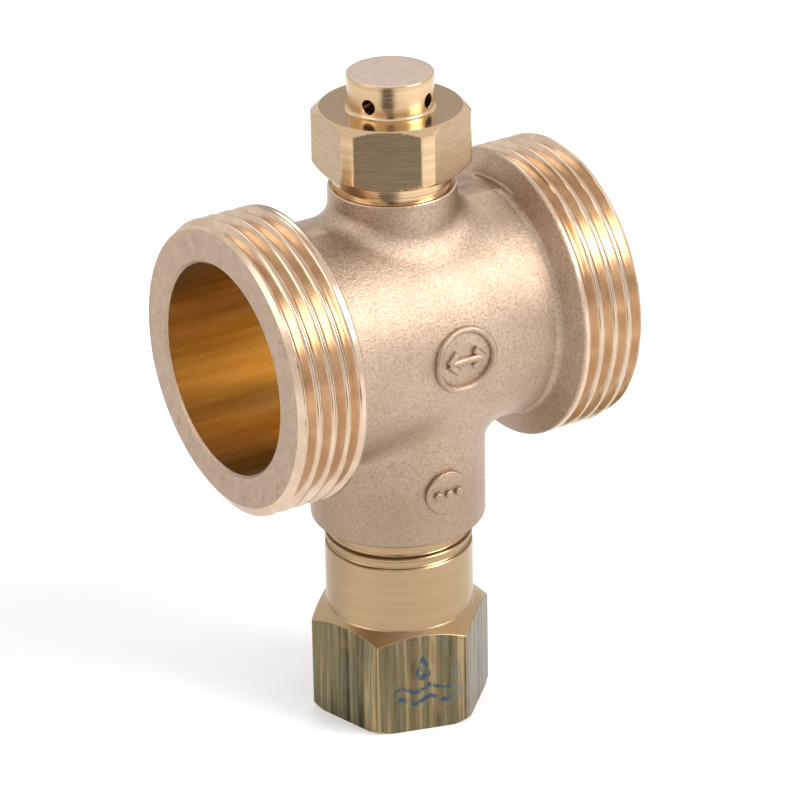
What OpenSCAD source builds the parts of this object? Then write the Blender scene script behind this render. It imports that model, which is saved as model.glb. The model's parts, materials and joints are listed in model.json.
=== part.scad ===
// Antifreeze drain valve for a G 1 1/4 pipe run: a cast brass body with two male ports, a vacuum
// breaker in its top neck and a thermostatic drain cartridge in its bottom neck.
// Millimetres. The origin is the middle of the foot, +Z is up and +X runs along the pipe.

/* [Run and ports] */
// Height of the pipe axis above the foot
run_h = 59.25; // [59.25:0.05:59.35]
// Half the length of the body, port face to port face
face_x = 28.2; // [28:0.1:30]
// Radius of the pipe bore
bore_r = 15.05; // [14.8:0.05:15.2]
// Major radius of the port thread
thread_r = 20.955; // [20.955]
// Where the port thread starts, measured from the middle
thread_x = 18.2; // [18:0.1:19]
// Unthreaded length at each port's mouth
lead_in = 1; // [0.8:0.1:1.5]
// Radius of the cast barrel between the ports
barrel_r = 17; // [16.8:0.1:17.5]

/* [Necks] */
// Radius of the top neck
top_neck_r = 9; // [8.8:0.1:9.5]
// Height of the top neck above the pipe axis
top_neck_h = 21.15; // [21:0.05:21.5]
// Radius of the bottom neck
low_neck_r = 12.5; // [12.4:0.1:13]
// Depth of the bottom neck below the pipe axis
low_neck_h = 29.55; // [29.5:0.05:30]

/* [Vacuum breaker] */
// Width across the flats of its hexagon
cap_af = 20; // [19.5:0.1:20.5]
// Radius that the hexagon's corners are turned to
cap_corner_r = 11.05; // [10.9:0.05:11.3]
// Radius of the round head
head_r = 6.04; // [6:0.02:6.2]
// Height of the head's top above the pipe axis
head_top = 37.4; // [37.2:0.1:37.8]
// How far the air poppet opens
air_travel = 2.5; // [1.5:0.1:2.5]

/* [Drain cartridge] */
// Width across the flats of the drain hexagon
drain_af = 23; // [22.6:0.1:23.4]
// Radius of the turned sleeve above the hexagon
sleeve_r = 10.6; // [10.4:0.1:10.8]
// Radius of the drain outlet
outlet_r = 6.5; // [6:0.1:7]
// How far the drain poppet lifts
drain_travel = 3; // [2:0.1:3]
// How far the thermostat can push back when it overheats
over_travel = 2; // [1:0.1:2]

/* [Hidden] */
$fn = 96;

// Gap between faces that touch, and the radial gap of a running fit
touch = 0.02;
running = 0.06;
// A cutter goes this far past the solid that it cuts
over = 1;

// Vacuum breaker's inner radii and levels; levels are measured from the pipe axis
cap_spigot_r = 6.5;
cap_chamber_r = 5.2;
cap_cavity_r = 3.5;
air_seat_z = 27.5;
air_hole_r = 3;
air_boss_r = 2.4;
air_stem_r = 1.2;
air_disc_r = 4.3;
air_disc_t = 1.8;
air_seal_t = 0.6;
guide_z = air_seat_z - 8 - air_travel;
guide_t = 1.4;

// Drain cartridge's inner radii and levels
spigot_r = 10.3;
spigot_top = -22.5;
undercut_r = 9.8;
chamber_r = 8.2;
step_z = -30.92;
lower_chamber_r = 7.7;
chamber_floor = -47.5;
seat_z = -46;
seat_r = 3.2;
outlet_top = -50;
o_ring_z = -26.6;
o_ring_groove_r = 9.35;
seal_r0 = 1.6;
seal_r1 = 4.6;
seal_t = 1.6;
hex_top = -43.7;

// Thermostat and its cage
flange_z = -28.5;
flange_t = 2;
piston_r = 1.5;
socket_z = seat_z + 5.45;
lift_flange_z = seat_z + 5.5;
poppet_top = seat_z + 8.4;
bulb_r = 5.2;
bulb_top = -15.2;
bulb_wall = 0.6;
boot_r = 2.5;
boot_top = flange_z + flange_t + drain_travel + 2.3;
cage_r = 9.2;
cage_top = flange_z + 11.3 + over_travel;
cage_bore_r = 7.5;

// Colours
cast_brass = [0.78, 0.64, 0.5];
turned_brass = [0.85, 0.68, 0.42];
bar_brass = [0.6, 0.5, 0.3];
steel = [0.72, 0.73, 0.75];
black_rubber = [0.08, 0.08, 0.08];
white_plastic = [0.9, 0.9, 0.86];
copper = [0.75, 0.42, 0.28];
wax_grey = [0.75, 0.72, 0.6];

// Lifts a shape from the pipe axis's own heights into the part's frame
module at_run() { translate([0, 0, run_h]) children(); }

// Cylinder of radius r from height z0 to height z1
module rod(r, z0, z1) { translate([0, 0, z0]) cylinder(r = r, h = z1 - z0); }

// Ring from radius r0 to radius r1, between two heights
module ring(r0, r1, z0, z1) {
    difference() {
        rod(r1, z0, z1);
        rod(r0, z0 - over, z1 + over);
    }
}

// Solid of revolution from [radius, height] points
module turned(points) { rotate_extrude() polygon(points); }

// O-ring of mean radius r and section radius s, centred at height z
module o_ring(r, s, z) {
    translate([0, 0, z]) rotate_extrude() translate([r, 0]) circle(r = s, $fn = 32);
}

// Hexagon of the given width across flats, with a flat facing the given angle
module hexagon(af, angle, z0, z1) {
    translate([0, 0, z0]) rotate([0, 0, angle + 30]) cylinder(r = af / sqrt(3), h = z1 - z0, $fn = 6);
}

// Coil spring with ground-flat ends, as one swept tube; r is its mean radius
module coil_spring(r, wire, z0, z1, turns, sides = 8, steps = 20) {
    dead = 0.9;
    span = z1 - z0 - wire;
    function rise(t) =
        t < dead ? 0.55 * wire * t :
        t > turns - dead ? span - 0.55 * wire * (turns - t) :
        0.55 * wire * dead + (span - 1.1 * wire * dead) * (t - dead) / (turns - 2 * dead);
    count = turns * steps;
    rings = [for (i = [0:count]) [for (k = [0:sides - 1])
        let (t = i / steps, a = 360 * t, b = 360 * k / sides, q = r + wire / 2 * cos(b))
        [q * cos(a), q * sin(a), z0 + wire / 2 + rise(t) + wire / 2 * sin(b)]]];
    points = [for (row = rings) for (p = row) p];
    walls = [for (i = [0:count - 1]) for (k = [0:sides - 1])
        let (n = (k + 1) % sides)
        [i * sides + k, (i + 1) * sides + k, (i + 1) * sides + n, i * sides + n]];
    caps = [[for (k = [0:sides - 1]) k], [for (k = [0:sides - 1]) (count + 1) * sides - 1 - k]];
    polyhedron(points, concat(walls, caps), convexity = 6);
}

// Half of the cast barrel, flank and port, along +X; the thread is a plain cylinder of its major radius
module port_half() {
    thread_end = face_x - lead_in;
    rotate([0, 90, 0]) turned([
        [0, -over], [barrel_r, -over], [barrel_r, thread_x - 2.6], [barrel_r + 0.9, thread_x - 1.6],
        [thread_r, thread_x], [thread_r, thread_end], [thread_r - 1, face_x], [0, face_x]
    ]);
}

// Raised casting marks on the front of the body: a plain ring and a plain disc
module casting_marks() {
    translate([0.6, 0, 0.3]) rotate([90, 0, 0]) ring(4, 5, barrel_r - 1, barrel_r + 0.3);
    translate([0, 0, -21.6]) rotate([90, 0, 0]) rod(3.3, low_neck_r - 1, low_neck_r + 0.35);
}

// Cast and machined brass body
module valve_body() {
    spot_face_r = 16.6;
    spot_face_z = 16.8;
    color(cast_brass) at_run() difference() {
        union() {
            difference() {
                union() {
                    port_half();
                    mirror([1, 0, 0]) port_half();
                }
                ring(top_neck_r - over, spot_face_r, spot_face_z, thread_r + over);
            }
            rod(top_neck_r, 0, top_neck_h);
            rod(low_neck_r, -low_neck_h, 0);
            casting_marks();
        }
        translate([-face_x - over, 0, 0]) rotate([0, 90, 0]) cylinder(r = bore_r, h = 2 * (face_x + over));
        rod(cap_spigot_r + touch, 0, top_neck_h + over);
        rod(cap_spigot_r + 1.2, top_neck_h - 1.4, top_neck_h + over);
        rod(spigot_r + touch, -low_neck_h - over, 0);
    }
}

// Vacuum breaker's hexagon, head, collar and screwed spigot in one turned piece
module vent_cap() {
    spigot_end = bore_r + 0.05;
    hex_z0 = 23.7;
    hex_z1 = 32.5;
    collar_r = 8.5;
    groove_r = 8;
    collar_z = 22;
    hole_z = 34.2;
    hole_r = 1;
    seat_plate = 2;
    bevel = 0.8;
    bevel_angle = 35;
    color(turned_brass) at_run() difference() {
        union() {
            intersection() {
                hexagon(cap_af, 54.4, hex_z0, hex_z1);
                turned([
                    [0, hex_z0], [cap_corner_r - bevel / tan(bevel_angle), hex_z0], [cap_corner_r, hex_z0 + bevel],
                    [cap_corner_r, hex_z1 - bevel], [cap_corner_r - bevel / tan(bevel_angle), hex_z1], [0, hex_z1]
                ]);
            }
            rod(head_r, hex_z1 - over, head_top);
            rod(collar_r, collar_z, hex_z0 + over);
            rod(groove_r, top_neck_h + touch, collar_z + over);
            rod(cap_spigot_r, spigot_end, collar_z);
        }
        rod(cap_cavity_r, air_seat_z + seat_plate, head_top - 1.4);
        rod(air_hole_r, air_seat_z - over, air_seat_z + seat_plate + over);
        rod(cap_chamber_r, spigot_end - over, air_seat_z);
        rod(cap_chamber_r + 0.45, guide_z - 0.95, guide_z - touch);
        for (i = [0:3])
            translate([0, 0, hole_z]) rotate([0, 90, 27 + 90 * i]) cylinder(r = hole_r, h = head_r + over);
    }
}

// O-ring between the vacuum breaker and the mouth of the top neck
module vent_cap_o_ring() {
    section = 0.57;
    color(black_rubber) at_run() o_ring(cap_spigot_r + touch + section, section, top_neck_h - 0.7);
}

// Disc and stem that open downwards to let air in
module air_poppet() {
    top = air_seat_z - touch - air_seal_t;
    color(turned_brass) at_run() {
        rod(air_disc_r, top - air_disc_t, top);
        rod(air_boss_r, top - air_disc_t, top + 1.1);
        rod(air_stem_r, bore_r + 0.35, top);
    }
}

// Flat seal that the poppet presses against its seat
module air_poppet_seal() {
    top = air_seat_z - touch;
    color(black_rubber) at_run() ring(air_boss_r + touch, air_disc_r, top - air_seal_t + touch, top);
}

// Spring that holds the air poppet shut
module air_spring() {
    top = air_seat_z - touch - air_seal_t - air_disc_t;
    color(steel) at_run() coil_spring(3.5, 0.5, guide_z + guide_t + touch, top - touch, 5);
}

// Perforated guide for the air poppet's stem
module vent_guide() {
    color(white_plastic) at_run() difference() {
        union() {
            rod(cap_chamber_r - touch, guide_z, guide_z + guide_t);
            rod(air_boss_r, guide_z, guide_z + 2 * guide_t);
        }
        rod(air_stem_r + running, guide_z - over, guide_z + 4);
        for (i = [0:5]) rotate([0, 0, 60 * i]) translate([3.8, 0, 0]) rod(0.8, guide_z - over, guide_z + 2);
    }
}

// Spring clip below the guide
module vent_guide_clip() {
    top = guide_z - 2 * touch;
    color(steel) at_run() difference() {
        ring(cap_chamber_r - 0.8, cap_chamber_r + 0.4, top - 0.85, top);
        translate([0, -1.5, top - 2]) cube([8, 3, 3]);
    }
}

// Drain hexagon, sleeve and screwed spigot, with the valve seat and the outlet inside
module drain_housing() {
    corner_r = drain_af / sqrt(3);
    lip_z0 = -32.67;
    lip_z1 = -32.15;
    sleeve_top = -33.8;
    spigot_low = -28;
    color(bar_brass) at_run() difference() {
        union() {
            intersection() {
                hexagon(drain_af, 13.2, -run_h, hex_top);
                turned([
                    [0, -run_h], [corner_r - 0.8, -run_h], [corner_r + 0.1, -run_h + 0.5],
                    [corner_r + 0.1, hex_top - 1.6], [sleeve_r, hex_top], [0, hex_top]
                ]);
            }
            rod(sleeve_r, hex_top - over, sleeve_top);
            rod(sleeve_r - 0.5, sleeve_top - 0.2, lip_z0);
            rod(sleeve_r, lip_z0, lip_z1);
            rod(undercut_r, lip_z1 - 0.05, spigot_low);
            rod(spigot_r, spigot_low, spigot_top);
        }
        rod(chamber_r, step_z, spigot_top + over);
        rod(lower_chamber_r, chamber_floor, step_z + over);
        rod(seat_r, outlet_top - over, chamber_floor + over);
        rod(outlet_r, -run_h - over, outlet_top);
        ring(o_ring_groove_r, spigot_r + over, o_ring_z - 0.6, o_ring_z + 0.6);
    }
    color(bar_brass) at_run() ring(seat_r, seat_r + 0.7, chamber_floor - touch, seat_z);
}

// O-ring on the drain cartridge's spigot
module drain_housing_o_ring() {
    section = 0.46;
    color(black_rubber) at_run() o_ring(o_ring_groove_r + touch + section, section, o_ring_z);
}

// Cage that carries the thermostat just below the stream, slotted at its floor and open through its wall
module thermostat_cage() {
    floor_top = flange_z - 0.42;
    head_z = spigot_top + touch;
    color(turned_brass) at_run() difference() {
        union() {
            rod(chamber_r - touch, step_z + touch, head_z + over);
            rod(cage_r, head_z, cage_top);
        }
        rod(cage_bore_r, floor_top, cage_top + over);
        rod(3.4, step_z - over, floor_top + over);
        rod(8.15, cage_top - 1.8, cage_top - 0.85);
        for (i = [0:5]) rotate([0, 0, 60 * i]) {
            translate([4, -1, step_z - over]) cube([3.5, 2, 4]);
            translate([6, -2, cage_top - 6.8]) cube([5, 4, 3.2]);
        }
    }
}

// Ring that the overtravel spring pushes against
module cage_cap() {
    color(turned_brass) at_run() ring(bulb_r + 0.45, cage_bore_r - touch, cage_top - 3, cage_top - 1.8 - touch);
}

// Snap ring that holds the cage cap down
module cage_retaining_ring() {
    color(steel) at_run() difference() {
        ring(6.6, 8.1, cage_top - 1.8, cage_top - 0.9);
        translate([0, -1.5, cage_top - 3]) cube([10, 3, 3]);
    }
}

// Stiff spring that yields when the thermostat overheats
module overtravel_spring() {
    color(steel) at_run() coil_spring(6.3, 0.9, flange_z + flange_t + 0.8 + touch, cage_top - 3 - touch, 4);
}

// Copper cup of the thermostat, crimped round its guide's flange
module thermostat_bulb() {
    rim_r = 7;
    top = flange_z + flange_t + touch;
    dome = 2.4;
    inner = bulb_r - bulb_wall;
    color(copper) at_run() turned(concat(
        [[5.6, flange_z - 0.4], [rim_r, flange_z - 0.4], [rim_r, top + 0.78], [bulb_r, top + 0.78]],
        [for (a = [0:15:90]) [bulb_r - dome + dome * cos(a), bulb_top - dome + dome * sin(a)]],
        [[0, bulb_top], [0, bulb_top - bulb_wall]],
        [for (a = [90:-15:0]) [inner - dome + dome * cos(a), bulb_top - bulb_wall - dome + dome * sin(a)]],
        [[inner, top], [6.38, top], [6.38, flange_z - touch], [5.6, flange_z - touch]]
    ));
}

// Brass flange and stem that guide the thermostat's piston
module thermostat_guide() {
    color(turned_brass) at_run() difference() {
        union() {
            rod(6.35, flange_z, flange_z + flange_t);
            rod(3.2, poppet_top + drain_travel + 1.4, flange_z + over);
        }
        rod(piston_r + running, flange_z - 6, flange_z + 3);
    }
}

// Wax that fills the cup and pushes the piston as it warms
module wax_charge() {
    dome = 2.4;
    low = flange_z + flange_t + 0.82;
    top = bulb_top - bulb_wall - 0.05;
    r = bulb_r - bulb_wall - 0.05;
    color(wax_grey) at_run() difference() {
        turned(concat(
            [[0, low], [r, low]],
            [for (a = [0:15:90]) [r - dome + dome * cos(a), top - dome + dome * sin(a)]],
            [[0, top]]
        ));
        rod(boot_r + touch, low - over, boot_top + touch);
    }
}

// Rubber boot between the wax and the piston
module thermostat_boot() {
    low = flange_z + flange_t + touch;
    color(black_rubber) at_run() difference() {
        union() {
            rod(4.55, low, low + 0.78);
            rod(boot_r, low, boot_top);
        }
        rod(piston_r + 0.08, low - over, boot_top - 1);
    }
}

// Piston that the thermostat pushes down on the drain poppet
module thermostat_piston() {
    color(steel) at_run() rod(piston_r, socket_z, flange_z + flange_t);
}

// Drain poppet: seal disc, neck, perforated spring flange and a socket for the piston
module drain_poppet() {
    color(turned_brass) at_run() difference() {
        union() {
            rod(5, seat_z + 0.8, seat_z + 2.6);
            rod(2.8, seat_z + 2, poppet_top);
            rod(7.3, lift_flange_z, lift_flange_z + 1.4);
        }
        ring(seal_r0, seal_r1, seat_z - over, seat_z + seal_t);
        rod(piston_r + touch, socket_z - touch, seat_z + 9);
        for (i = [0:5]) rotate([0, 0, 60 * i]) translate([4.3, 0, 0]) rod(0.9, lift_flange_z - over, seat_z + 8);
    }
}

// Seal ring in the underside of the drain poppet
module drain_seal() {
    color(black_rubber) at_run() ring(seal_r0 + touch, seal_r1 - touch, seat_z + touch, seat_z + seal_t - touch);
}

// Spring that lifts the drain poppet when the thermostat lets go
module return_spring() {
    color(steel) at_run() coil_spring(6.4, 0.9, chamber_floor + touch, lift_flange_z - touch, 5);
}

valve_body();
vent_cap();
vent_cap_o_ring();
air_poppet();
air_poppet_seal();
air_spring();
vent_guide();
vent_guide_clip();
drain_housing();
drain_housing_o_ring();
thermostat_cage();
cage_cap();
cage_retaining_ring();
overtravel_spring();
thermostat_bulb();
thermostat_guide();
wax_charge();
thermostat_boot();
thermostat_piston();
drain_poppet();
drain_seal();
return_spring();
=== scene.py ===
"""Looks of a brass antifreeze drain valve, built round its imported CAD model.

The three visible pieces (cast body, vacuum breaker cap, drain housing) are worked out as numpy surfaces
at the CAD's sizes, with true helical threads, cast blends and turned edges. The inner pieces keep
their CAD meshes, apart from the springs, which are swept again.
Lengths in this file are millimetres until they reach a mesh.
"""

import json
import math

import bmesh
import bpy
import numpy as np
from mathutils import Matrix, Vector


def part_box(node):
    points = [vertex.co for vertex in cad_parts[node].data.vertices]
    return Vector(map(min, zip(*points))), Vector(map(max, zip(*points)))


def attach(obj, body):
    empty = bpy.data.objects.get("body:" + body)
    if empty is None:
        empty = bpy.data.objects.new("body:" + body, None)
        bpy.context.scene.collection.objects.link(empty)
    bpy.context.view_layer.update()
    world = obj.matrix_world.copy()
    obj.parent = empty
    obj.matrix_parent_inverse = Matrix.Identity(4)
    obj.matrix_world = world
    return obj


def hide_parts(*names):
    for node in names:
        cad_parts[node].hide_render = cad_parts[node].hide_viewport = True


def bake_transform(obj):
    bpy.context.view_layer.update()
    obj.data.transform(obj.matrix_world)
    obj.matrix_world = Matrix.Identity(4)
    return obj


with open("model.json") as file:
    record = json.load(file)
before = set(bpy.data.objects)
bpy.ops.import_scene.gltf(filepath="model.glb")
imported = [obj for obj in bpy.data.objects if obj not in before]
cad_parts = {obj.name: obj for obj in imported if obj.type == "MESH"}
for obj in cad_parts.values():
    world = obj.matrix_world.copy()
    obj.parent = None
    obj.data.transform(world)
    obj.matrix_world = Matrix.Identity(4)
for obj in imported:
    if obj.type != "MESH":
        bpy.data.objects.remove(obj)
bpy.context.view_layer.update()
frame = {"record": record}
MM = 0.001
TAU = 2 * math.pi


# ---------------------------------------------------------------- sizes, from the frame where it has them

MOUNTS = {m["name"]: m for m in frame["record"]["mounts"]}
RUN_H = MOUNTS["port_b"]["pos_m"][2] / MM          # height of the pipe axis above the foot
FACE_X = MOUNTS["port_b_face"]["pos_m"][0] / MM    # port face, from the middle
THREAD_R = MOUNTS["port_b"]["dims"]["r_mm"]        # major radius of the port thread
OUTLET_R = MOUNTS["drain_outlet"]["dims"]["r_mm"]
HEAD_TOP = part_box("vent_cap")[1].z / MM - RUN_H    # heights below are from the pipe axis

PITCH = 25.4 / 11                                  # G 1 1/4 has eleven threads an inch
THREAD_DEPTH = 0.6403 * PITCH
BARREL_R = 17.0
BORE_R = 15.05
RIM_X = 18.0                                       # where the cast flank reaches the thread
TOP_NECK_R = 9.0
TOP_NECK_Z = 21.15
LOW_NECK_R = 12.5
LOW_NECK_Z = -29.55
CAP_AF = 20.0
CAP_CORNER_R = 11.05
CAP_FLAT_ANGLE = 54.4
HEAD_R = 6.04
DRAIN_AF = 23.0
DRAIN_FLAT_ANGLE = 13.2
SLEEVE_R = 10.6
CAP_SPIGOT_R = 6.5
DRAIN_SPIGOT_R = 10.3


# ---------------------------------------------------------------- meshes from numpy grids

def new_object(name, verts, faces):
    """Object at the origin from vertices in millimetres about the crossing of the two axes."""
    mesh = bpy.data.meshes.new(name)
    moved = np.asarray(verts, float) + np.array([0.0, 0.0, RUN_H])
    mesh.from_pydata((moved * MM).tolist(), [], faces)
    mesh.validate()
    obj = bpy.data.objects.new(name, mesh)
    bpy.context.scene.collection.objects.link(obj)
    return obj


def loop_grid(name, points):
    """Closed solid from a grid of shape (n, m, 3) that wraps round both ways, like a torus."""
    n, m = points.shape[:2]
    index = np.arange(n * m).reshape(n, m)
    a, b = index, np.roll(index, -1, 0)
    quads = np.stack([a, b, np.roll(b, -1, 1), np.roll(a, -1, 1)], -1).reshape(-1, 4)
    return new_object(name, points.reshape(-1, 3), quads.tolist())


def capped_grid(name, points):
    """Closed solid from a grid (n, m, 3) that wraps round its second way; end rows close on their middles."""
    n, m = points.shape[:2]
    index = np.arange(n * m).reshape(n, m)
    a, b = index[:-1], index[1:]
    quads = np.stack([a, b, np.roll(b, -1, 1), np.roll(a, -1, 1)], -1).reshape(-1, 4).tolist()
    ends = np.stack([points[0].mean(0), points[-1].mean(0)])
    first, last = index[0], index[-1]
    low, high = n * m, n * m + 1
    fans = np.stack([np.full(m, low), first, np.roll(first, -1)], -1).tolist()
    fans += np.stack([np.full(m, high), np.roll(last, -1), last], -1).tolist()
    return new_object(name, np.vstack([points.reshape(-1, 3), ends]), quads + fans)


def arc(cx, cy, r, a0, a1, steps=6):
    """Points of an arc about (cx, cy), from angle a0 to a1 in degrees."""
    t = np.radians(np.linspace(a0, a1, steps))
    return np.stack([cx + r * np.cos(t), cy + r * np.sin(t)], -1)


def resample(points, step):
    """Adds points along each straight stretch so that none is longer than step."""
    points = np.asarray(points, float)
    out = []
    for p, q in zip(points[:-1], points[1:]):
        count = max(1, int(math.ceil(np.linalg.norm(q - p) / step)))
        out.append(p + (q - p) * np.linspace(0, 1, count, endpoint=False)[:, None])
    return np.vstack(out + [points[-1:]])


def around_z(profile, angles, radius=None):
    """Turns (radius, height) points about the vertical axis; radius(r, z, angle) may change each radius."""
    r, z = np.meshgrid(profile[:, 0], angles, indexing="ij")[0], profile[:, 1][:, None]
    z = np.broadcast_to(z, r.shape)
    a = np.broadcast_to(angles[None], r.shape)
    if radius is not None:
        r = radius(r, z, a)
    return np.stack([r * np.cos(a), r * np.sin(a), z], -1)


def full_turn(count):
    return np.arange(count) * TAU / count


def hexagon_radius(af, flat_angle, angles):
    """Distance from the axis to a hexagon's side at each angle: half the flats over the cosine."""
    from_flat = np.mod(angles - math.radians(flat_angle) + TAU / 12, TAU / 6) - TAU / 12
    return af / 2 / np.cos(from_flat)


def soft_min(a, b, width):
    """Smaller of two lengths, rounded where they are within width of each other."""
    h = np.clip(0.5 + 0.5 * (b - a) / width, 0, 1)
    return b * (1 - h) + a * h - width * h * (1 - h)


def recalculated(obj):
    """Turns every face outwards."""
    bm = bmesh.new()
    bm.from_mesh(obj.data)
    bmesh.ops.recalc_face_normals(bm, faces=bm.faces)
    bm.to_mesh(obj.data)
    bm.free()
    return obj


def combine(base, others, operation):
    """Applies a manifold boolean of base with each of the others, and removes them."""
    recalculated(base)
    for other in others:
        recalculated(other)
        modifier = base.modifiers.new("join", "BOOLEAN")
        modifier.operation = operation
        modifier.solver = "MANIFOLD"
        modifier.object = other
        bpy.context.view_layer.update()
        evaluated = base.evaluated_get(bpy.context.evaluated_depsgraph_get())
        mesh = bpy.data.meshes.new_from_object(evaluated)
        base.modifiers.clear()
        old = base.data
        base.data = mesh
        bpy.data.meshes.remove(old)
        bpy.data.objects.remove(other)


def finish_surface(obj, sharp_angle=32):
    """Smooth shading that stays crisp across edges sharper than the angle."""
    mesh = obj.data
    mesh.shade_smooth()
    mesh.set_sharp_from_angle(angle=math.radians(sharp_angle))


def face_centres(obj):
    """Centres and normals of the faces, in millimetres about the crossing of the axes."""
    mesh = obj.data
    count = len(mesh.polygons)
    centre = np.empty(count * 3)
    normal = np.empty(count * 3)
    mesh.polygons.foreach_get("center", centre)
    mesh.polygons.foreach_get("normal", normal)
    return centre.reshape(-1, 3) / MM - np.array([0, 0, RUN_H]), normal.reshape(-1, 3)


# ---------------------------------------------------------------- cast body

def thread_radius(x, angle):
    """Radius of the port thread: a 55 degree ridge whose crest climbs one pitch a turn, rounded at
    crest and root, that runs out towards the flank and is turned off at the mouth."""
    distance = np.abs(np.mod(x / PITCH - angle / TAU, 1) - 0.5)
    ridge = 0.9605 * PITCH
    peak = THREAD_R + ridge / 6 - 2 * ridge * distance
    radius = soft_min(peak, np.full_like(peak, THREAD_R), 0.3)
    radius = -soft_min(-radius, np.full_like(radius, THREAD_DEPTH - THREAD_R), 0.34)
    run_out = np.clip((np.abs(x) - RIM_X - 0.25) / 1.3, 0, 1)
    run_out = run_out * run_out * (3 - 2 * run_out)
    return THREAD_R - (THREAD_R - radius) * run_out


def barrel_solid():
    """Barrel, flanks and threads: radius as a function of distance along the run and angle round it."""
    flank_foot = RIM_X - 1.35
    half = np.vstack([
        np.stack([np.linspace(0, flank_foot - 1.2, 12), np.full(12, BARREL_R)], -1),
        arc(flank_foot - 1.1, BARREL_R + 1.1, 1.1, -88, -18, 8),
        arc(RIM_X - 0.02, THREAD_R - 0.32, 0.3, 165, 95, 5),
    ])
    along = np.arange(RIM_X + 0.12, FACE_X - 0.85, PITCH / 26)
    outline = np.vstack([half, np.stack([along, np.full(len(along), THREAD_R)], -1)])
    mouth = resample([[FACE_X - 0.85, THREAD_R], [FACE_X - 0.04, THREAD_R - 1.06],
                      [FACE_X, THREAD_R - 1.12]], 0.14)
    outline = np.vstack([outline, mouth, [[FACE_X, 8.0]]])
    profile = np.vstack([outline[::-1] * [-1, 1], outline[1:]])
    angles = full_turn(280)
    x = np.broadcast_to(profile[:, :1], (len(profile), len(angles)))
    r = np.broadcast_to(profile[:, 1:], x.shape).copy()
    threaded = (np.abs(x) > RIM_X + 0.1) & (r > BORE_R + 1)
    r = np.where(threaded, np.minimum(r, thread_radius(x, angles[None])), r)
    return capped_grid("barrel", np.stack([x, r * np.cos(angles), r * np.sin(angles)], -1))


def neck_solid(name, radius, top, blend, edge, side):
    """Round neck that flares into the barrel. Out to the blend, the height is the barrel's own height
    plus a quarter-circle fillet; side is +1 above the barrel and -1 below it."""
    angles = full_turn(288)
    t = np.linspace(1, 0, 14)
    flare = radius + blend * t ** 1.6
    lift = blend - np.sqrt(np.maximum(blend ** 2 - (blend - (flare - radius)) ** 2, 0))
    rho = np.concatenate([[0.5, radius + blend + 1.4], flare])
    lift = np.concatenate([[-9, -0.3], lift])
    column, a = np.meshgrid(rho, angles, indexing="ij")
    across = column * np.sin(a)
    over = np.sqrt(np.maximum(BARREL_R ** 2 - across ** 2, 1.0))
    heights = over + lift[:, None]
    heights[0] = 3.0
    fillet = np.stack([column * np.cos(a), across, side * heights], -1)
    lip = np.vstack([arc(radius - edge, top - edge, edge, 0, 90, 6), [[0.5, top]]])
    lip_grid = around_z(lip, angles)
    lip_grid[..., 2] *= side
    return capped_grid(name, np.vstack([fillet, lip_grid]))


def raised_path(name, centre_angle, radius, across, path, width, height, vertical):
    """Raised bead along a closed or open path of (sideways, up) points, laid on a cylinder of the given
    radius: each section is a low half-round arch that stands height above the surface."""
    path = np.asarray(path, float)
    closed = np.allclose(path[0], path[-1])
    if closed:
        path = path[:-1]
        along = np.roll(path, -1, 0) - np.roll(path, 1, 0)
    else:
        along = np.gradient(path, axis=0)
    along /= np.linalg.norm(along, axis=1)[:, None]
    normal = np.stack([-along[:, 1], along[:, 0]], -1)
    section = np.vstack([arc(0, 0, 1, 0, 180, 9), [[-1, -1.6], [1, -1.6]]])
    flat = path[:, None, :] + normal[:, None, :] * (section[:, 0] * width / 2)[None, :, None]
    lift = np.broadcast_to((section[:, 1] * height)[None], flat.shape[:2])
    points = laid_on(flat, lift, centre_angle, radius, across, vertical)
    return loop_grid(name, points) if closed else capped_grid(name, points)


def laid_on(flat, lift, up, radius, across, vertical):
    """Places (sideways, up) points on the front of a cylinder: the run's barrel, or a vertical neck."""
    if vertical:
        turn = (flat[..., 0] + across) / radius
        r = radius + lift
        return np.stack([r * np.sin(turn), -r * np.cos(turn), flat[..., 1] + up], -1)
    turn = (flat[..., 1] + up) / radius
    r = radius + lift
    return np.stack([flat[..., 0] + across, -r * np.cos(turn), r * np.sin(turn)], -1)


def raised_disc(name, up, radius, across, disc_r, height, vertical):
    """Low round pad with a rounded rim, laid on a cylinder."""
    angles = full_turn(64)
    rim = np.vstack([[[0.02, -1.5], [disc_r, -1.5]], arc(disc_r - 0.3, height - 0.3, 0.3, 0, 90, 6),
                     [[0.02, height]]])
    flat = rim[:, 0][:, None, None] * np.stack([np.cos(angles), np.sin(angles)], -1)[None]
    lift = np.broadcast_to(rim[:, 1][:, None], flat.shape[:2])
    return capped_grid(name, laid_on(flat, lift, up, radius, across, vertical))


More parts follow.
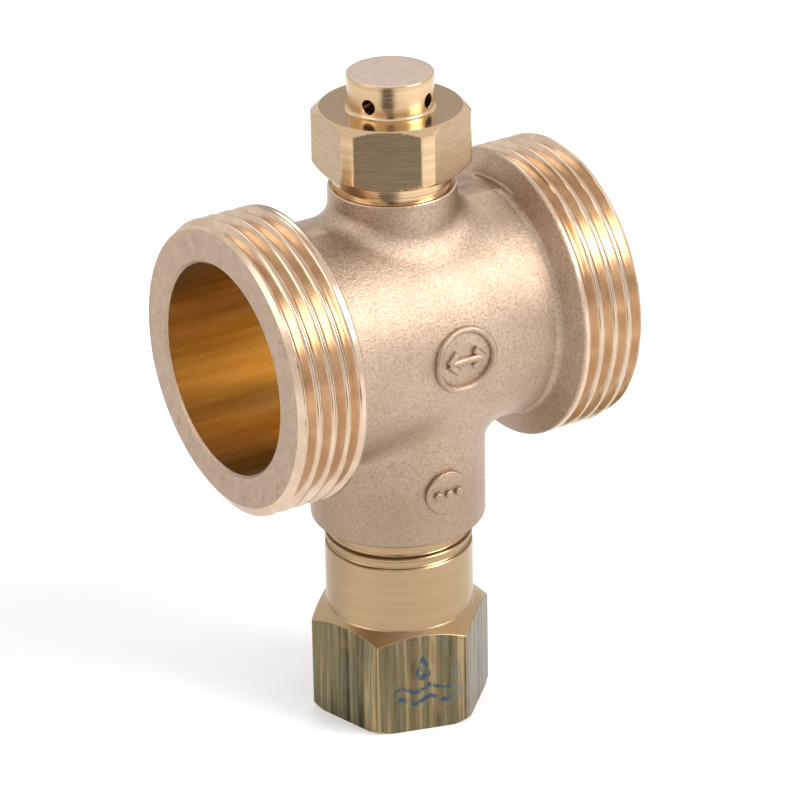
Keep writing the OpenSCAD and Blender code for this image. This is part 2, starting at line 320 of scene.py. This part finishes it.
def casting_marks():
    """A ring with a two-way flow arrow on the barrel, and a disc with three tally dots on the bottom neck."""
    ring_up, ring_across = 0.3, 0.6
    disc_up, disc_across, dot_gap = -21.6, 0.1, 1.6
    turn = np.linspace(0, TAU, 73)
    circle = np.stack([4.55 * np.cos(turn), 4.4 * np.sin(turn)], -1)
    marks = [raised_path("ring_mark", ring_up, BARREL_R, ring_across, circle, 1.05, 0.75, False)]
    bar = np.stack([np.linspace(-2.4, 2.4, 9), np.zeros(9)], -1)
    marks.append(raised_path("arrow_bar", ring_up, BARREL_R, ring_across, bar, 1.2, 0.66, False))
    for way in (-1, 1):
        for lean in (-1, 1):
            barb = np.stack([np.linspace(2.75, 1.35, 7) * way, np.linspace(0, 1.35, 7) * lean], -1)
            marks.append(raised_path("arrow_barb", ring_up, BARREL_R, ring_across, barb, 1.15, 0.62, False))
    marks.append(raised_disc("disc_mark", disc_up, LOW_NECK_R, disc_across, 3.3, 0.62, True))
    for i in range(3):
        dot_across = disc_across + dot_gap * (i - 1)
        marks.append(raised_disc("tally_dot", disc_up, LOW_NECK_R, dot_across, 0.62, 1.15, True))
    return marks


def cutter_z(name, profile):
    """Solid of revolution about the vertical axis from (radius, height) points."""
    return capped_grid(name, around_z(np.asarray(profile, float), full_turn(192)))


def bore_cutter():
    """Pipe bore with a small chamfer at each mouth."""
    chamfer = 0.35
    end = FACE_X + 1
    profile = np.array([[-end, 0.02], [-end, BORE_R + chamfer + 1], [-FACE_X + chamfer, BORE_R],
                        [0, BORE_R], [FACE_X - chamfer, BORE_R], [end, BORE_R + chamfer + 1], [end, 0.02]])
    angles = full_turn(256)
    x = np.broadcast_to(profile[:, :1], (len(profile), len(angles)))
    r = profile[:, 1:]
    return capped_grid("bore", np.stack([x, r * np.cos(angles), r * np.sin(angles)], -1))


def make_body():
    """The cast body: barrel, spot-face, necks, marks, then the bores."""
    body = barrel_solid()
    spot_r, spot_z, spot_round = 17.45, 16.9, 0.4
    rim = arc(spot_r - spot_round, spot_z + spot_round, spot_round, 0, -90, 5)
    spot = cutter_z("spot_face", np.vstack([[[0.02, 30.0], [spot_r, 30.0]], rim, [[0.02, spot_z]]]))
    combine(body, [spot], "DIFFERENCE")
    necks = [neck_solid("top_neck", TOP_NECK_R, TOP_NECK_Z, 2.4, 0.35, 1),
             neck_solid("low_neck", LOW_NECK_R, -LOW_NECK_Z, 2.6, 0.7, -1)]
    combine(body, necks + casting_marks(), "UNION")
    fit_r, rebate_r, rebate_z = CAP_SPIGOT_R + 0.03, CAP_SPIGOT_R + 1.2, TOP_NECK_Z - 1.4
    top_bore = cutter_z("top_bore", [[0.02, 2], [fit_r, 2], [fit_r, rebate_z], [rebate_r, rebate_z],
                                     [rebate_r, TOP_NECK_Z + 1], [0.02, TOP_NECK_Z + 1]])
    fit_r = DRAIN_SPIGOT_R + 0.03
    low_bore = cutter_z("low_bore", [[0.02, 0], [fit_r, 0], [fit_r, LOW_NECK_Z - 1], [0.02, LOW_NECK_Z - 1]])
    combine(body, [bore_cutter(), top_bore, low_bore], "DIFFERENCE")
    body.name = "cast_body"
    finish_surface(body)
    centre, normal = face_centres(body)
    x = np.abs(centre[:, 0])
    r = np.hypot(centre[:, 1], centre[:, 2])
    rho = np.hypot(centre[:, 0], centre[:, 1])
    kind = np.zeros(len(centre), int)
    kind[(x > RIM_X + 0.1) & (r > BORE_R + 2.5)] = 1
    kind[(x > FACE_X - 0.5) & (np.abs(normal[:, 0]) > 0.9)] = 2
    kind[r < BORE_R + 0.05] = 3
    kind[(rho < TOP_NECK_R - 0.05) & (centre[:, 2] > BORE_R)] = 1
    kind[(np.abs(centre[:, 2] - spot_z) < 0.02) & (normal[:, 2] > 0.99)] = 2
    kind[(rho < DRAIN_SPIGOT_R + 0.1) & (centre[:, 2] < -BORE_R * 0.6)] = 1
    body.data.polygons.foreach_set("material_index", kind)
    return body


# ---------------------------------------------------------------- vacuum breaker cap and drain housing

def make_cap():
    """Turned cap: radius is the profile's, cut down to the hexagon between its two bevels."""
    z0, z1, bevel_r, bevel_h = 23.7, 32.5, 1.15, 0.8
    outer = np.vstack([
        [[CAP_SPIGOT_R - 0.3, 15.1], [CAP_SPIGOT_R, 15.4], [CAP_SPIGOT_R, TOP_NECK_Z + 0.02]],
        [[8.0, TOP_NECK_Z + 0.02], [8.0, 21.95]], [[8.42, 22.02], [8.5, 22.12], [8.5, 23.68]],
        [[CAP_CORNER_R - bevel_r, z0], [CAP_CORNER_R, z0 + bevel_h], [CAP_CORNER_R, z1 - bevel_h],
         [CAP_CORNER_R - bevel_r, z1]],
        arc(HEAD_R + 0.45, z1 + 0.45, 0.45, 270, 180, 6),
        arc(HEAD_R - 0.18, HEAD_TOP - 0.18, 0.18, 0, 90, 5), [[0.3, HEAD_TOP]],
    ])
    outer = resample(outer, 0.3)
    inner = np.array([[0.3, HEAD_TOP - 1.4], [3.5, HEAD_TOP - 1.4], [3.5, 29.5], [3.0, 29.5], [3.0, 27.5],
                      [5.2, 27.5], [5.2, 16.98], [5.65, 16.98], [5.65, 16.05], [5.2, 16.05], [5.2, 13.5],
                      [0.3, 13.5]])
    side = lambda r, z, a: np.where(
        (z > z0 - 0.01) & (z < z1 + 0.01) & (r > 8.6),
        soft_min(r, hexagon_radius(CAP_AF, CAP_FLAT_ANGLE, a), 0.12), r)
    angles = full_turn(384)
    cap = capped_grid("vent_cap_turned", around_z(outer, angles, side))
    cavity = capped_grid("cavity", around_z(inner, full_turn(128)))
    combine(cap, [cavity], "DIFFERENCE")
    hole_z, first_hole = 34.2, 27
    holes = []
    for i in range(4):
        a = math.radians(first_hole + 90 * i)
        ring = full_turn(40)
        reach = np.array([2.6, HEAD_R - 0.18, HEAD_R + 0.1, HEAD_R + 0.6])
        size = np.array([1.0, 1.0, 1.16, 1.5])
        u = reach[:, None] + 0 * ring
        v, w = size[:, None] * np.cos(ring), size[:, None] * np.sin(ring)
        holes.append(capped_grid("air_hole", np.stack([
            u * math.cos(a) - v * math.sin(a), u * math.sin(a) + v * math.cos(a), hole_z + w], -1)))
    combine(cap, holes, "DIFFERENCE")
    finish_surface(cap, 24)
    centre, normal = face_centres(cap)
    rho = np.hypot(centre[:, 0], centre[:, 1])
    radial = (centre[:, 0] * normal[:, 0] + centre[:, 1] * normal[:, 1]) / rho
    on_hexagon = (centre[:, 2] > z0) & (centre[:, 2] < z1) & (rho > 9)
    kind = np.zeros(len(centre), int)
    kind[on_hexagon & (radial > 0.9) & (rho < CAP_CORNER_R - 0.06)] = 1
    kind[(centre[:, 2] > HEAD_TOP - 0.01)] = 2
    cap.data.polygons.foreach_set("material_index", kind)
    return cap


def make_housing():
    """Drain housing: a turned profile, cut down to the drawn hexagon below the sleeve."""
    corner = DRAIN_AF / math.sqrt(3) - 0.14
    foot, top, chamfer = -RUN_H, -43.7, 1.55
    outer = np.vstack([
        [[8.2, -22.5], [DRAIN_SPIGOT_R - 0.3, -22.5], [DRAIN_SPIGOT_R, -22.8], [DRAIN_SPIGOT_R, -26.0],
         [9.35, -26.0], [9.35, -27.2], [DRAIN_SPIGOT_R, -27.2], [DRAIN_SPIGOT_R, -28], [9.8, -28.2]],
        [[9.8, -31.7]], arc(10.25, -31.7, 0.45, 180, 270, 5), [[10.45, -32.15], [SLEEVE_R, -32.3]],
        [[SLEEVE_R, -32.55], [10.45, -32.7], [10.15, -32.75], [10.1, -32.85], [10.1, -33.6], [10.2, -33.75]],
        [[10.45, -33.8], [SLEEVE_R, -33.95], [SLEEVE_R, top + 0.25]],
        resample([[SLEEVE_R + 0.12, top + 0.04], [corner + 0.05, top - chamfer]], 0.09),
        resample([[corner + 0.05, foot + 0.62], [corner - 0.75, foot]], 0.09),
        [[OUTLET_R + 0.4, foot], [OUTLET_R, foot + 0.4], [OUTLET_R, -50], [3.2, -50]],
        [[3.2, -46.15], [3.3, -46], [3.8, -46], [3.9, -46.15], [3.9, -47.5], [7.7, -47.5]],
        [[7.7, -30.92], [8.2, -30.92]],
    ])
    outline = resample(np.vstack([outer, outer[:1]]), 0.55)[:-1]
    side = lambda r, z, a: np.where(
        (z < top - 0.05) & (r > 9), soft_min(r, hexagon_radius(DRAIN_AF, DRAIN_FLAT_ANGLE, a), 0.1), r)
    housing = loop_grid("drain_housing_turned", around_z(outline, full_turn(384), side))
    recalculated(housing)
    finish_surface(housing, 24)
    centre, _ = face_centres(housing)
    rho = np.hypot(centre[:, 0], centre[:, 1])
    kind = ((centre[:, 2] < top) & (rho > SLEEVE_R + 0.05)).astype(int)
    housing.data.polygons.foreach_set("material_index", kind)
    return housing


def make_spring(name, r, wire, z0, z1, turns):
    """Coil spring: a circle carried along a helix whose end turns lie flat."""
    sides, steps = 12, 40
    t = np.linspace(0, turns, int(turns * steps) + 1)
    dead = 0.9
    span = z1 - z0 - wire
    slope = 0.55 * wire
    middle = slope * dead + (span - 2 * slope * dead) * (t - dead) / (turns - 2 * dead)
    rise = np.where(t < dead, slope * t, np.where(t > turns - dead, span - slope * (turns - t), middle))
    b = full_turn(sides)
    q = r + wire / 2 * np.cos(b)[None]
    points = np.stack([q * np.cos(TAU * t)[:, None], q * np.sin(TAU * t)[:, None],
                       z0 + wire / 2 + rise[:, None] + wire / 2 * np.sin(b)[None]], -1)
    return recalculated(capped_grid(name, points))


# ---------------------------------------------------------------- shader arithmetic

class Value:
    """A shader socket that takes arithmetic; each operator adds one Math or Vector Math node."""

    def __init__(self, graph, socket):
        self.graph, self.socket = graph, socket

    def math(self, operation, *others):
        return self.graph.node("ShaderNodeMath", dict(enumerate((self,) + others)), operation=operation)

    def __add__(self, other): return self.math("ADD", other)
    def __radd__(self, other): return self.math("ADD", other)
    def __sub__(self, other): return self.math("SUBTRACT", other)
    def __rsub__(self, other): return self.graph.value(other).math("SUBTRACT", self)
    def __mul__(self, other): return self.math("MULTIPLY", other)
    def __truediv__(self, other): return self.math("DIVIDE", other)
    def __pow__(self, other): return self.math("POWER", other)
    def sin(self): return self.math("SINE")
    def abs(self): return self.math("ABSOLUTE")
    def sqrt(self): return self.math("SQRT")
    def min(self, other): return self.math("MINIMUM", other)
    def max(self, other): return self.math("MAXIMUM", other)

    def step(self, low, high):
        """0 below low and 1 above high, smooth between them; low above high turns it round."""
        turned = low > high
        ends = {"Value": self, "From Min": min(low, high), "From Max": max(low, high)}
        out = self.graph.node("ShaderNodeMapRange", ends, interpolation_type="SMOOTHSTEP")
        return 1 - out if turned else out


class Graph:
    """Node tree of one material or of the world."""

    def __init__(self, tree):
        self.tree = tree
        tree.nodes.clear()

    def node(self, kind, inputs=None, output=0, **settings):
        """Adds any node, its settings first and then its inputs, and returns one of its outputs."""
        node = self.tree.nodes.new(kind)
        for key, value in settings.items():
            setattr(node, key, value)
        for key, value in (inputs or {}).items():
            if isinstance(value, Value):
                self.tree.links.new(value.socket, node.inputs[key])
            else:
                node.inputs[key].default_value = value
        return Value(self, node.outputs[output]) if node.outputs else None

    def value(self, number):
        out = self.node("ShaderNodeValue")
        out.socket.default_value = number
        return out

    def mix(self, factor, a, b):
        """Mixes two colours; sockets 6 and 7 of the node are its colour inputs."""
        rgba = lambda c: c if isinstance(c, Value) else (*c, 1.0)
        return self.node("ShaderNodeMix", {0: factor, 6: rgba(a), 7: rgba(b)}, output=2, data_type="RGBA")

    def vector(self, x, y, z):
        return self.node("ShaderNodeCombineXYZ", {0: x, 1: y, 2: z})

    def noise(self, vector, scale, detail=2.0, roughness=0.5):
        return self.node("ShaderNodeTexNoise", {"Vector": vector, "Scale": scale, "Detail": detail,
                                                "Roughness": roughness}, noise_dimensions="3D")

    def lines(self, along, scale, detail=2.0):
        """Noise that changes along one value only, for tool lines and brushing."""
        return self.node("ShaderNodeTexNoise", {"W": along, "Scale": scale, "Detail": detail},
                         noise_dimensions="1D")

    def bump(self, height, distance_mm, strength=1.0):
        return self.node("ShaderNodeBump", {"Height": height, "Strength": strength,
                                            "Distance": distance_mm * MM})


class Finish(Graph):
    """A Principled material, with its position in millimetres about the crossing of the axes."""

    def __init__(self, name):
        self.material = bpy.data.materials.new(name)
        self.material.use_nodes = True
        super().__init__(self.material.node_tree)
        place = self.node("ShaderNodeTexCoord", output=3)
        split = self.tree.nodes.new("ShaderNodeSeparateXYZ")
        self.tree.links.new(place.socket, split.inputs[0])
        self.x, self.y, height = (Value(self, out) * 1000 for out in split.outputs)
        self.z = height - RUN_H
        self.place = self.vector(self.x, self.y, self.z)

    def done(self, **inputs):
        named = {key.replace("_", " "): value for key, value in inputs.items()}
        named = {key: (*value, 1.0) if isinstance(value, tuple) and len(value) == 3 else value
                 for key, value in named.items()}
        shader = self.node("ShaderNodeBsdfPrincipled", named)
        self.node("ShaderNodeOutputMaterial", {"Surface": shader})
        return self.material


# ---------------------------------------------------------------- finishes

def cast_finish():
    """Sand-blasted casting: pinkish satin brass with a fine grain and faint cloudy tone, with painted shade
    that darkens it low down.
    """
    g = Finish("cast_brass")
    cloud = g.noise(g.place, 0.16, 4, 0.6)
    grain = g.noise(g.place, 2.6, 4, 0.75)
    tone = g.mix(cloud.step(0.3, 0.72), (0.465, 0.342, 0.245), (0.53, 0.4, 0.295))
    # painted shade: the base colour darkens below the barrel towards the bottom neck, standing in for the
    # lower neck lying in less light
    tone = g.mix(g.z.step(-15, -24) * 0.6, tone, (0.35, 0.25, 0.165))
    tone = g.mix(grain.step(0.54, 0.38) * 0.5, tone, (0.24, 0.16, 0.095))
    rough = 0.32 + grain * 0.12
    return g.done(Base_Color=tone, Metallic=1.0, Roughness=rough, Normal=g.bump(grain, 0.13, 0.8))


def thread_finish():
    """Machined brass: bright pale gold with the tool's fine lines round the run."""
    g = Finish("machined_brass")
    lines = g.lines(g.x, 9.0, 3)
    tone = g.mix(g.noise(g.place, 0.3, 3).step(0.35, 0.7), (0.6, 0.44, 0.31), (0.7, 0.54, 0.4))
    return g.done(Base_Color=tone, Metallic=1.0, Roughness=0.2, Normal=g.bump(lines, 0.015, 0.5))


def face_finish():
    """Faced port mouth: satin, with a few small stains."""
    g = Finish("faced_brass")
    r = (g.y * g.y + g.z * g.z).sqrt()
    stain = g.noise(g.place, 0.75, 4, 0.7).step(0.57, 0.7)
    mottle = g.noise(g.place, 0.5, 5, 0.65).step(0.35, 0.68)
    tone = g.mix(mottle, (0.4, 0.285, 0.2), (0.46, 0.335, 0.245))
    tone = g.mix(stain * 0.6, tone, (0.24, 0.15, 0.09))
    return g.done(Base_Color=tone, Metallic=1.0, Roughness=0.34, Normal=g.bump(g.lines(r, 8.0), 0.012, 0.5))


def bore_finish():
    """Bored passage: amber, with painted reflections in bands along the run, and the tool's fine rings."""
    g = Finish("bored_brass")
    # painted reflection: the lighter and darker bands along the run stand in for the surroundings reflected
    # in the bore
    bands = g.noise(g.vector(g.x * 0.02, g.y * 0.3, g.z * 0.3), 1.0, 4, 0.6)
    tone = g.mix(bands.step(0.34, 0.66), (0.62, 0.42, 0.15), (0.9, 0.68, 0.34))
    return g.done(Base_Color=tone, Metallic=1.0, Roughness=0.3, Normal=g.bump(g.lines(g.x, 6.0), 0.02, 0.6))


def turned_finish(name="turned_brass", dark=(0.58, 0.4, 0.23), light=(0.66, 0.48, 0.29), rough=0.2):
    """Turned brass: semi-gloss, with fine lines round the vertical axis."""
    g = Finish(name)
    lines = g.lines(g.z, 7.0, 3)
    tone = g.mix(g.lines(g.z, 0.9, 3).step(0.36, 0.66), dark, light)
    return g.done(Base_Color=tone, Metallic=1.0, Roughness=rough, Normal=g.bump(lines, 0.02, 0.6))


def milled_finish():
    """Milled flats: fine level brushing on a duller brass."""
    g = Finish("milled_brass")
    brush = g.noise(g.vector(g.x * 0.25, g.y * 0.25, g.z * 6), 1.0, 4, 0.6)
    tone = g.mix(brush.step(0.35, 0.66), (0.4, 0.285, 0.17), (0.5, 0.37, 0.23))
    return g.done(Base_Color=tone, Metallic=1.0, Roughness=0.3, Normal=g.bump(brush, 0.03, 0.55))


def head_finish():
    """Top of the round head: flat satin."""
    g = Finish("head_top_brass")
    tone = g.mix(g.noise(g.place, 0.7, 4).step(0.35, 0.7), (0.5, 0.39, 0.31), (0.55, 0.43, 0.35))
    return g.done(Base_Color=tone, Metallic=1.0, Roughness=0.4)


def drawn_finish():
    """Drawn hexagon bar: upright streaks of green, straw, brown and grey oxide, and a worn blue ink mark
    of a drop above two waves on one flat. The turned chamfers inside the flats stay plain."""
    g = Finish("drawn_brass")
    streak = g.noise(g.vector(g.x * 0.9, g.y * 0.9, g.z * 0.025), 1.0, 5, 0.66)
    patch = g.noise(g.vector(g.x * 0.4, g.y * 0.4, g.z * 0.2), 1.0, 3)
    tone = g.mix(streak.step(0.34, 0.52), (0.055, 0.04, 0.02), (0.17, 0.145, 0.075))
    tone = g.mix(streak.step(0.52, 0.68), tone, (0.4, 0.3, 0.16))
    cool_side = math.radians(DRAIN_FLAT_ANGLE - 60)
    cool = (g.x * math.cos(cool_side) + g.y * math.sin(cool_side)).step(2, 9)
    tone = g.mix(patch.step(0.5, 0.68) * (cool * 0.5 + 0.15), tone, (0.17, 0.17, 0.17))
    tone = g.mix(patch.step(0.45, 0.3) * 0.5, tone, (0.24, 0.15, 0.075))
    turn = math.radians(DRAIN_FLAT_ANGLE - 120)
    out = g.x * math.cos(turn) + g.y * math.sin(turn)
    mark_z, mark_scale = -51.0, 1.3
    u = (g.y * math.cos(turn) - g.x * math.sin(turn)) / mark_scale
    v = (g.z - mark_z) / mark_scale
    waves = 0.0
    for level in (-2.6, -1.2):
        swell = (u * 1.9).sin() * 0.35
        waves = (v - level - swell).abs().step(0.34, 0.2) * u.abs().step(3.4, 3.0) + waves
    rise = (v - 0.6).max(0.0)
    drop_r = (u * u * (rise * 0.75 + 1) ** 2 + (v - 1.3) * (v - 1.3) * 0.5).sqrt()
    worn = g.noise(g.place, 1.3, 4, 0.7).step(0.4, 0.55)
    ink = (waves + drop_r.step(1.15, 0.95)).min(1.0) * worn * out.step(11.0, 11.3) * 0.9
    tone = g.mix(ink, tone, (0.008, 0.045, 0.1))
    reach = 0.0
    for k in range(3):
        a = math.radians(DRAIN_FLAT_ANGLE + 60 * k)
        reach = (g.x * math.cos(a) + g.y * math.sin(a)).abs().max(reach)
    tone = g.mix(reach.step(DRAIN_AF / 2 - 0.07, DRAIN_AF / 2 - 0.03), (0.43, 0.3, 0.165), tone)
    return g.done(Base_Color=tone, Metallic=1.0 - ink * 0.9, Roughness=0.32 + ink * 0.2,
                  Normal=g.bump(streak, 0.03, 0.5))


def plain_finish(name, colour, metallic, rough):
    """Simple finish for an inner piece, with a slight mottle so that it isn't flat."""
    g = Finish(name)
    mottle = g.noise(g.place, 1.2, 3)
    darker = tuple(c * 0.82 for c in colour)
    return g.done(Base_Color=g.mix(mottle.step(0.3, 0.7), darker, colour), Metallic=metallic, Roughness=rough,
                  Normal=g.bump(mottle, 0.02, 0.5))


# ---------------------------------------------------------------- putting it together

CAST = cast_finish()
MACHINED, FACED, BORED = thread_finish(), face_finish(), bore_finish()
TURNED, MILLED, HEAD = turned_finish(), milled_finish(), head_finish()
SLEEVE = turned_finish("sleeve_brass", (0.405, 0.285, 0.16), (0.425, 0.3, 0.172), 0.27)
DRAWN = drawn_finish()
INNER = {
    "turned_brass": turned_finish("inner_brass"),
    "steel": plain_finish("spring_steel", (0.66, 0.67, 0.69), 1.0, 0.24),
    "rubber": plain_finish("black_rubber", (0.025, 0.025, 0.026), 0.0, 0.6),
    "plastic": plain_finish("white_plastic", (0.82, 0.82, 0.77), 0.0, 0.42),
    "copper": plain_finish("copper", (0.83, 0.43, 0.27), 1.0, 0.3),
    "wax": plain_finish("wax", (0.7, 0.66, 0.5), 0.0, 0.55),
}


def shaped(make, node, materials):
    """Makes a piece in the CAD node's place, on its fixed body, and keeps its faces' material numbers."""
    obj = make()
    faces = obj.data.polygons
    kind = np.empty(len(faces), int)
    faces.foreach_get("material_index", kind)
    obj.data.materials.clear()
    for material in materials:
        obj.data.materials.append(material)
    faces.foreach_set("material_index", kind)
    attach(obj, "valve")
    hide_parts(node)


shaped(make_body, "valve_body", [CAST, MACHINED, FACED, BORED])
shaped(make_cap, "vent_cap", [TURNED, MILLED, HEAD])
shaped(make_housing, "drain_housing", [SLEEVE, DRAWN])

SPRINGS = [("air_spring", 3.5, 0.5, 5, "air_poppet", True),
           ("return_spring", 6.4, 0.9, 5, "drain_poppet", True),
           ("overtravel_spring", 6.3, 0.9, 4, "thermostat", False)]
for node, mean_r, wire, turns, body, fixed_low in SPRINGS:
    low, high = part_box(node)
    z0, z1 = low.z / MM - RUN_H, high.z / MM - RUN_H
    spring = make_spring(node + "_wire", mean_r, wire, z0, z1, turns)
    spring.data.materials.append(INNER["steel"])
    spring.data.shade_smooth()
    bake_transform(spring)
    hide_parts(node)

SLOTS = {piece["node"]: piece["material_slot"] for piece in frame["record"]["subparts"]}
for node, slot_name in SLOTS.items():
    obj = bpy.data.objects.get(node)
    if obj is None or obj.hide_render:
        continue
    obj.data.materials.clear()
    obj.data.materials.append(INNER[slot_name])


# ---------------------------------------------------------------- floor, light and camera

def background_rays(graph):
    """1 for the rays that see the background: the camera's, and those the metal reflects or lets through."""
    seen = graph.node("ShaderNodeLightPath", output="Is Camera Ray")
    for ray in ("Is Glossy Ray", "Is Transmission Ray"):
        seen = seen.max(graph.node("ShaderNodeLightPath", output=ray))
    return seen


def stage_floor():
    mesh = bpy.data.meshes.new("floor")
    half = 6.0
    corners = [(-half, -half, 0), (half, -half, 0), (half, half, 0), (-half, half, 0)]
    mesh.from_pydata(corners, [], [(0, 1, 2, 3)])
    floor = bpy.data.objects.new("floor", mesh)
    bpy.context.scene.collection.objects.link(floor)
    g = Finish("pale_floor")
    mesh.materials.append(g.done(Base_Color=(0.93, 0.93, 0.93), Roughness=0.9, Metallic=0.0,
                                 Emission_Color=g.mix(background_rays(g), (0, 0, 0), (1, 1, 1)),
                                 Emission_Strength=0.22))


def area_light(name, azimuth, elevation, distance, size, power):
    """Soft square light aimed at the crossing of the axes; azimuth 0 is the front, positive to the right."""
    a, e = math.radians(azimuth), math.radians(elevation)
    away = Vector((math.sin(a) * math.cos(e), -math.cos(a) * math.cos(e), math.sin(e)))
    data = bpy.data.lights.new(name, "AREA")
    data.shape, data.size, data.energy = "SQUARE", size, power
    light = bpy.data.objects.new(name, data)
    light.location = Vector((0, 0, RUN_H * MM)) + away * distance
    light.rotation_euler = away.to_track_quat("Z", "Y").to_euler()
    bpy.context.scene.collection.objects.link(light)


def studio_card(name, corners, tone):
    """Matt card that only reflections see; it gives the brass its darker bands and leaves the floor alone."""
    mesh = bpy.data.meshes.new(name)
    mesh.from_pydata(corners, [], [(0, 1, 2, 3)])
    card = bpy.data.objects.new(name, mesh)
    bpy.context.scene.collection.objects.link(card)
    mesh.materials.append(Finish(name).done(Base_Color=(tone, tone, tone), Roughness=0.9, Metallic=0.0))
    card.visible_camera = card.visible_diffuse = card.visible_shadow = False


def card_corners(azimuth, near, far, low, high, half_width):
    """Corners of a card that runs from (near, low) to (far, high), across the given azimuth."""
    a = math.radians(azimuth)
    out, side = Vector((math.sin(a), -math.cos(a), 0)), Vector((math.cos(a), math.sin(a), 0))
    rows = [(near, low, -1), (near, low, 1), (far, high, 1), (far, high, -1)]
    return [tuple(out * d + side * w * half_width + Vector((0, 0, h))) for d, h, w in rows]


def studio_world():
    """White surroundings, and a softer level of light from them."""
    world = bpy.data.worlds.new("studio")
    bpy.context.scene.world = world
    world.use_nodes = True
    g = Graph(world.node_tree)
    tone = g.mix(background_rays(g), (0.62, 0.62, 0.63), (1.0, 1.0, 1.0))
    back = g.node("ShaderNodeBackground", {"Color": tone, "Strength": 1.0})
    g.node("ShaderNodeOutputWorld", {"Surface": back})


def camera():
    """Camera at a fitted angle: azimuth and elevation in degrees, then roll, distance and shift in mm."""
    azimuth, elevation, roll = (math.radians(v) for v in (-32.483, 25.436, -1.032))
    distance, shift_x, shift_y, lens = 617.572, -0.750, 11.017, 198.68
    back = Vector((math.sin(azimuth) * math.cos(elevation), -math.cos(azimuth) * math.cos(elevation),
                   math.sin(elevation)))
    right = Vector((math.cos(azimuth), math.sin(azimuth), 0))
    up = back.cross(right)
    right, up = (right * math.cos(roll) + up * math.sin(roll), up * math.cos(roll) - right * math.sin(roll))
    data = bpy.data.cameras.new("view")
    data.lens, data.sensor_width, data.clip_start, data.clip_end = lens, 36.0, 0.05, 50.0
    obj = bpy.data.objects.new("view", data)
    middle = Vector((0, 0, RUN_H)) + back * distance - right * shift_x - up * shift_y
    obj.matrix_world = Matrix.Translation(middle * MM) @ Matrix((right, up, back)).transposed().to_4x4()
    bpy.context.scene.collection.objects.link(obj)
    bpy.context.scene.camera = obj


stage_floor()
studio_world()
studio_card("front_card", card_corners(-33, 1.0, 1.0, 0.02, 0.62, 0.17), 0.045)
studio_card("low_card", card_corners(-40, 0.15, 0.45, 0.002, 0.002, 0.07), 0.04)
studio_card("back_card", card_corners(147, 1.3, 1.3, 0.2, 1.1, 0.5), 0.5)
area_light("key", 38, 37, 0.7, 0.34, 3.3)
area_light("fill", -95, 30, 0.8, 0.5, 1.1)
area_light("rim", 150, 45, 0.8, 0.4, 1.0)
camera()
bpy.context.scene.view_settings.view_transform = "Standard"
